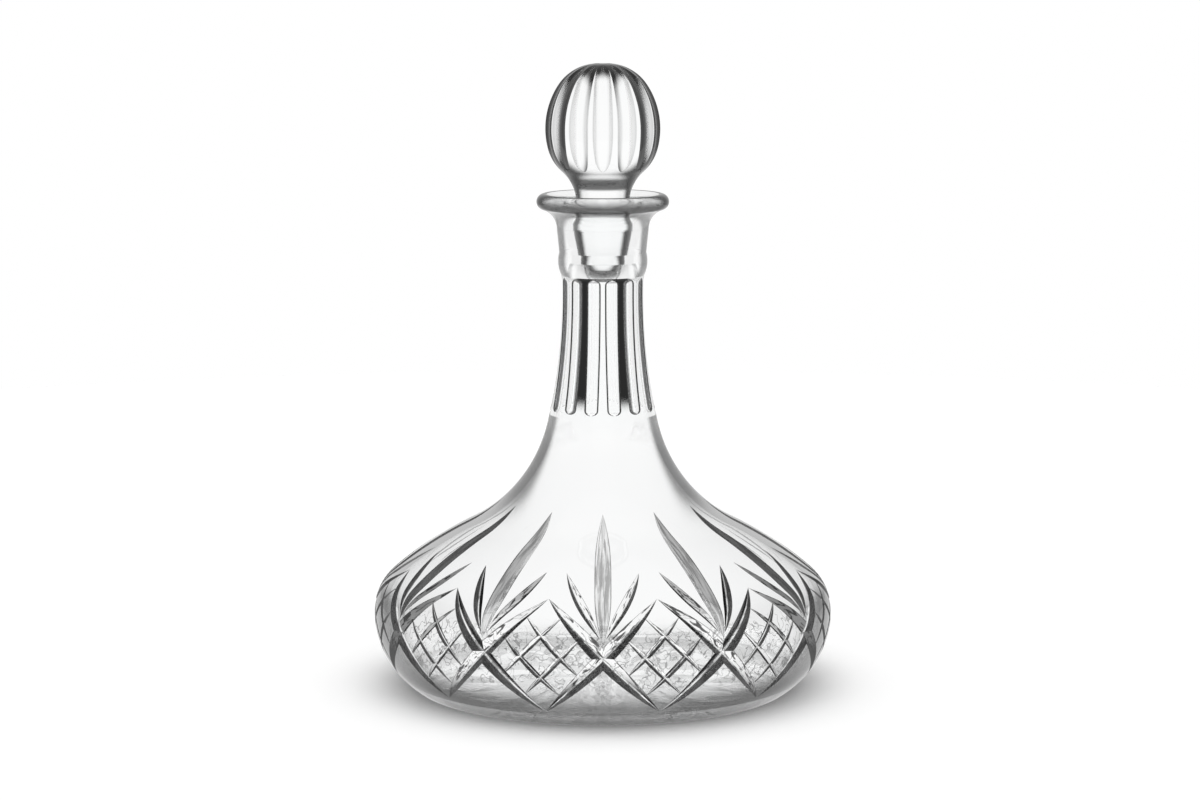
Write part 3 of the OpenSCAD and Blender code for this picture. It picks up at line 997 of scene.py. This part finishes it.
class Glass(Graph):
    """Clear colourless glass, with a faint unevenness in its polish, into whose colour shade can be painted.
    """

    def __init__(self, name, roughness=0.0, unevenness=POLISH):
        self.material = bpy.data.materials.new(name)
        super().__init__(self.material)
        self.place = self.add("TexCoord").outputs["Object"]
        self.height = self.part(self.place, "Z")
        # The glass's colour, which the painted shade below multiplies down
        self.colour = GLASS_COLOUR
        uneven = self.noise(self.place, POLISH_GRAIN, POLISH_DETAIL)
        look = {
            "Base Color": (*GLASS_COLOUR, 1),
            "Roughness": self.maths("MULTIPLY_ADD", uneven, unevenness, roughness),
            "IOR": GLASS_INDEX,
            "Transmission Weight": 1,
        }
        self.shader = self.add("BsdfPrincipled", look)
        self.add("OutputMaterial", {"Surface": self.shader.outputs["BSDF"]})

    def met_from(self, side):
        """1 where the surface is met from its front or its back, and 0 where it isn't."""
        back = self.add("NewGeometry").outputs["Backfacing"]
        return back if side == "back" else self.maths("SUBTRACT", 1, back)

    def paint_shade(self, level, side="front"):
        """Paints shade into the glass's colour: dims what is seen through the surface where it is met from
        its front, its back or both.
        """
        if side != "both":
            other = "back" if side == "front" else "front"
            level = self.maths("MAXIMUM", level, self.met_from(other))
        self.colour = self.vector("MULTIPLY", self.colour, self.product(level, level))
        self.links.new(self.colour, self.shader.inputs["Base Color"])

    def band(self, heights):
        """A share that grows from the first height to the second and fades from the third to the fourth."""
        start, full, fade, end = (height * MM for height in heights)
        return self.product(self.blend(self.height, start, full), self.blend(self.height, fade, end, 1, 0))

    def spot_on_cut(self):
        """How far a spot is from the edge of its cut to the middle, how far along it, and on which flank."""
        return self.add("Attribute", attribute_name="on_cut").outputs["Vector"]

    def bowl_normal(self):
        """The way that the bowl faces at a spot, as if it had no cuts: outwards and up."""
        return self.vector("NORMALIZE", self.vector("ADD", self.outwards(self.place), (0, 0, 1)))

    def open_far_side(self, far):
        """Lets light straight through the far walls of the bowl, so that only the near cuts show there.

        A far wall is met from inside the bowl: on the back of the outside, or on the front of the inside.
        """
        opened = self.product(self.band(FAR_OPEN_HEIGHTS), self.met_from(far))
        self.links.new(self.maths("SUBTRACT", 1, opened), self.shader.inputs["Alpha"])

    def paint_slant_shade(
        self, start, full, fade=89, end=90, level=0.0, side="front", heights=(), middle=0.0, as_bowl=False
    ):
        """Paints shade on facets that are met at a slant, darkening the glass's colour down to a level.

        The four angles say where the dark starts, is full, starts to fade and has faded.
        Two heights, where given, say where it starts and where it is full.
        A middle is the share of the dark that is taken off the middle of each cut.
        The slant is that of the facet, or of the bowl around it.
        """
        facing = self.add("LayerWeight", {"Blend": 0.5})
        if as_bowl:
            self.links.new(self.bowl_normal(), facing.inputs["Normal"])
        slant = facing.outputs["Facing"]
        start, full, fade, end = (1 - math.cos(angle * DEG) for angle in (start, full, fade, end))
        amount = self.product(self.blend(slant, start, full), self.blend(slant, fade, end, 1, 0))
        if heights:
            first, last = heights
            amount = self.product(amount, self.blend(self.height, first * MM, last * MM))
        if middle:
            across = self.part(self.spot_on_cut(), "X")
            amount = self.product(amount, self.blend(across, *LIGHT_MIDDLE, 1, 1 - middle))
        self.paint_shade(self.blend(amount, 0, 1, 1, level), side)

    def paint(self, *stops):
        """Paints shade on the flank of a cut: its levels at stops from its edge, 0, to its middle, 1."""
        ramp = self.add("ValToRGB", {"Fac": self.part(self.spot_on_cut(), "X")})
        elements = ramp.color_ramp.elements
        while len(elements) < len(stops):
            elements.new(0.5)
        for element, (position, level) in zip(elements, stops):
            element.position = position
            element.color = (level, level, level, 1)
        self.paint_shade(ramp.outputs["Color"])

    def paint_streaks(self, level, start=0.5, full=0.6, counts=STREAK_COUNTS):
        """Painted streaks of shade along each cut, from where they start in a noise with its counts across
        and along.
        """
        noise = self.noise(self.spot_on_cut(), (*counts, 1), STREAK_DETAIL, STREAK_BEND)
        self.paint_shade(self.blend(noise, start, full, 1, level))

    def paint_squiggles(self):
        """Painted short dark wavy lines, which stand in for the bent outlines of the cuts on the far side as
        they are seen through the glass.
        """
        wave = self.noise(self.place, SQUIGGLE_GRAIN, SQUIGGLE_DETAIL, SQUIGGLE_BEND)
        apart = self.maths("ABSOLUTE", self.maths("SUBTRACT", wave, 0.5))
        line = self.blend(apart, *SQUIGGLE_EDGES, 1, 0)
        broken = self.blend(self.noise(self.place, SQUIGGLE_GAP_GRAIN), *SQUIGGLE_GAPS)
        line = self.product(line, broken, self.band(SQUIGGLE_HEIGHTS))
        self.paint_shade(self.blend(line, 0, 1, 1, SQUIGGLE_LEVEL), "back")

    def paint_height_shade(self, low, high, low_level, high_level=1.0):
        """Painted shade: greys what is seen into a surface, from one level at a low height to another at a
        high one.
        """
        self.paint_shade(self.blend(self.height, low * MM, high * MM, low_level, high_level))

    def paint_band_shade(self, heights, level):
        """Painted shade: greys what is seen into a surface between heights, with soft ends."""
        self.paint_shade(self.blend(self.band(heights), 0, 1, 1, level))


def clear_glass():
    """Bare glass of the base, the bowl, the shoulder and the collar, with painted shade: greyer near the
    foot, and darker where it is met at a slant, low on the bowl and high on the shoulder.
    """
    glass = Glass("clear_glass")
    glass.open_far_side("back")
    glass.paint_height_shade(low=8, high=22, low_level=0.22)
    glass.paint_slant_shade(start=48, full=74, level=0.25, heights=(50, 40))
    glass.paint_slant_shade(start=50, full=66, level=0.32, heights=(70, 90))
    return glass


def inside_glass():
    """The mouth and the inside of the vessel, with painted dark squiggles that stand in for light broken by
    the far cuts.
    """
    glass = Glass("inside_glass")
    glass.open_far_side("front")
    glass.paint_squiggles()
    return glass


def dark_flank_glass():
    """Flanks of the bowl's cuts that lean up, with painted shade: dark with a clear middle line, streaked,
    and darker at a slant.
    """
    glass = Glass("dark_flank_glass")
    glass.open_far_side("back")
    glass.paint((0, 0.2), (0.06, 0.06), (0.74, 0.1), (0.82, 1))
    glass.paint_streaks(level=0.5)
    glass.paint_slant_shade(start=50, full=76)
    return glass


def leaf_flank_glass():
    """Flanks of the bowl's cuts that lean sideways, with painted shade: grey edges, streaks, and darker
    where the bowl is met at a slant.
    """
    glass = Glass("leaf_flank_glass")
    glass.open_far_side("back")
    glass.paint((0, 0.25), (0.06, 0.3), (0.12, 1), (0.84, 0.9), (0.92, 1))
    glass.paint_streaks(level=0.5, start=0.4, counts=(4, 0.06))
    glass.paint_slant_shade(start=47, full=61, level=0.2, as_bowl=True)
    return glass


def pale_flank_glass():
    """Flanks of the bowl's cuts that lean down, with painted shade: grey edges, streaks, and darker at a
    slant.
    """
    glass = Glass("pale_flank_glass")
    glass.open_far_side("back")
    glass.paint((0, 0.3), (0.06, 0.4), (0.12, 1))
    glass.paint_streaks(level=0.1, start=0.54)
    glass.paint_slant_shade(start=40, full=66)
    glass.paint_slant_shade(start=47, full=61, level=0.4, as_bowl=True)
    return glass


def flute_glass():
    """Flutes of the neck, with painted shade: dark lines at their edges, and darker where they are met at a
    slant.
    """
    glass = Glass("flute_glass")
    glass.paint((0, 0.01), (0.16, 0.02), (0.26, 1))
    glass.paint_slant_shade(start=38, full=52, fade=60, end=70, level=0.15)
    return glass


def land_glass():
    """Bare glass between the flutes of the neck, with painted shade where it is met at a slant, fading out
    towards the foot of the flutes.
    """
    glass = Glass("land_glass")
    glass.paint_slant_shade(start=12, full=22, fade=35, end=48, heights=(NECK_FLUTE_LOW, NECK_FLUTE_LOW + LAND_FADE))
    return glass


def rim_glass():
    """The rounded rim of the lip, with painted shade: darker towards its bottom, and where it is met at a
    slant.
    """
    glass = Glass("rim_glass")
    glass.paint_height_shade(low=209.5, high=214.0, low_level=0.14)
    glass.paint_slant_shade(start=50, full=75)
    return glass


def foot_glass():
    """The bare band under the cuts of the bowl, with painted grey shade, darkest at the bottom."""
    glass = Glass("foot_glass")
    glass.paint_height_shade(low=0.8, high=5, low_level=0.09, high_level=0.3)
    return glass


def ground_glass():
    """The finely ground seat and peg, with painted shade where they are met at a slant."""
    glass = Glass("ground_glass", GROUND_ROUGHNESS, GROUND_ROUGHNESS)
    glass.paint_slant_shade(start=38, full=60, side="both")
    return glass


def stopper_glass():
    """Bare glass of the stopper: the end of its peg, its waist and its ball, with painted shade where it is
    met at a slant and a painted dark band at the waist.
    """
    glass = Glass("stopper_glass")
    glass.paint_slant_shade(start=42, full=66)
    glass.paint_band_shade(heights=(215.5, 217.5, 220, 223), level=0.16)
    return glass


def ball_flute_glass():
    """Flutes of the ball, with painted shade: grey lines near their edges, and darker where they are met at
    a slant, less so in their middles.
    """
    glass = Glass("ball_flute_glass")
    glass.paint((0.05, 1), (0.12, 0.7), (0.45, 0.95), (0.6, 1))
    glass.paint_slant_shade(start=34, full=56, middle=0.15)
    return glass


def white_floor():
    """White paint with the object's shadow for the eye, and part of the studio for the glass."""
    material = bpy.data.materials.new("white_floor")
    graph = Graph(material)
    paint = graph.add("BsdfDiffuse", {"Color": FLOOR_COLOUR})
    glow = graph.add("Emission", {"Strength": FLOOR_GLOW})
    painted = graph.add("AddShader", {0: paint.outputs["BSDF"], 1: glow.outputs["Emission"]})
    place = graph.add("TexCoord").outputs["Object"]
    shown = graph.add("Emission", {"Strength": graph.white_but_sides(place)})
    shaders = {1: painted.outputs["Shader"], 2: shown.outputs["Emission"]}
    choice = graph.add("MixShader", {"Fac": graph.seen_in_glass(), **shaders})
    graph.add("OutputMaterial", {"Surface": choice.outputs["Shader"]})
    return material


def make_floor():
    """A round floor, just under the foot."""
    mesh = bpy.data.meshes.new("floor")
    ring = [FLOOR_RADIUS * heading(360 * k / FLOOR_SIDES) for k in range(FLOOR_SIDES)]
    mesh.from_pydata([(x, y, -FLOOR_DROP * MM) for x, y in ring], [], [list(range(FLOOR_SIDES))])
    mesh.materials.append(white_floor())
    return add_object("floor", mesh)


def make_world():
    """The studio: white for the eye, soft light from above for the floor, and its own levels for the glass.

    The glass mirrors the studio more dimly than it lets it through.
    """
    scene.world = bpy.data.worlds.new("studio")
    graph = Graph(scene.world)
    way = graph.add("TexCoord").outputs["Generated"]
    height = graph.part(way, "Z")
    rays = graph.add("LightPath").outputs
    ceiling = graph.blend(height, *sines(CEILING), 1, CEILING_LEVEL)
    lamp = graph.blend(height, *sines(LAMP))
    studio = graph.maths("MAXIMUM", graph.product(graph.white_but_sides(way), ceiling), lamp)
    share = graph.blend(rays["Is Transmission Ray"], 0, 1, MIRRORED_LEVEL, 1)
    overhead = graph.maths("POWER", graph.maths("MAXIMUM", height, 0), SOFT_POWER)
    soft = graph.product(overhead, (SOFT_POWER + 2) / 2)
    level = graph.blend(graph.seen_in_glass(), 0, 1, soft, graph.product(studio, share))
    level = graph.maths("MAXIMUM", level, rays["Is Camera Ray"])
    background = graph.add("Background", {"Color": (1, 1, 1, 1), "Strength": level})
    graph.add("OutputWorld", {"Surface": background.outputs["Background"]})


def make_camera():
    """The camera, where the photo was taken from."""
    camera_data = bpy.data.cameras.new("camera")
    camera_data.lens = CAMERA_LENS
    camera_data.sensor_width = CAMERA_SENSOR
    camera = add_object("camera", camera_data)
    camera.location = EYE
    camera.rotation_euler = (AIM - EYE).to_track_quat("-Z", "Y").to_euler()
    scene.camera = camera


# Pieces
ground = ground_glass()
bare = [clear_glass(), ground, flute_glass(), inside_glass(), land_glass(), rim_glass(), foot_glass()]
flanks = [dark_flank_glass(), leaf_flank_glass(), pale_flank_glass()]
decanter = make_decanter(bare + flanks)
stopper = make_stopper([stopper_glass(), ground, ball_flute_glass()])
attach(decanter, "decanter")
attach(stopper, "stopper")
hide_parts("decanter")
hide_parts("stopper")

# Studio
floor = make_floor()
make_world()
make_camera()
scene.view_settings.view_transform = "Standard"
scene.cycles.max_bounces = LIGHT_BOUNCES
scene.cycles.transmission_bounces = LIGHT_BOUNCES
scene.cycles.glossy_bounces = MIRROR_BOUNCES
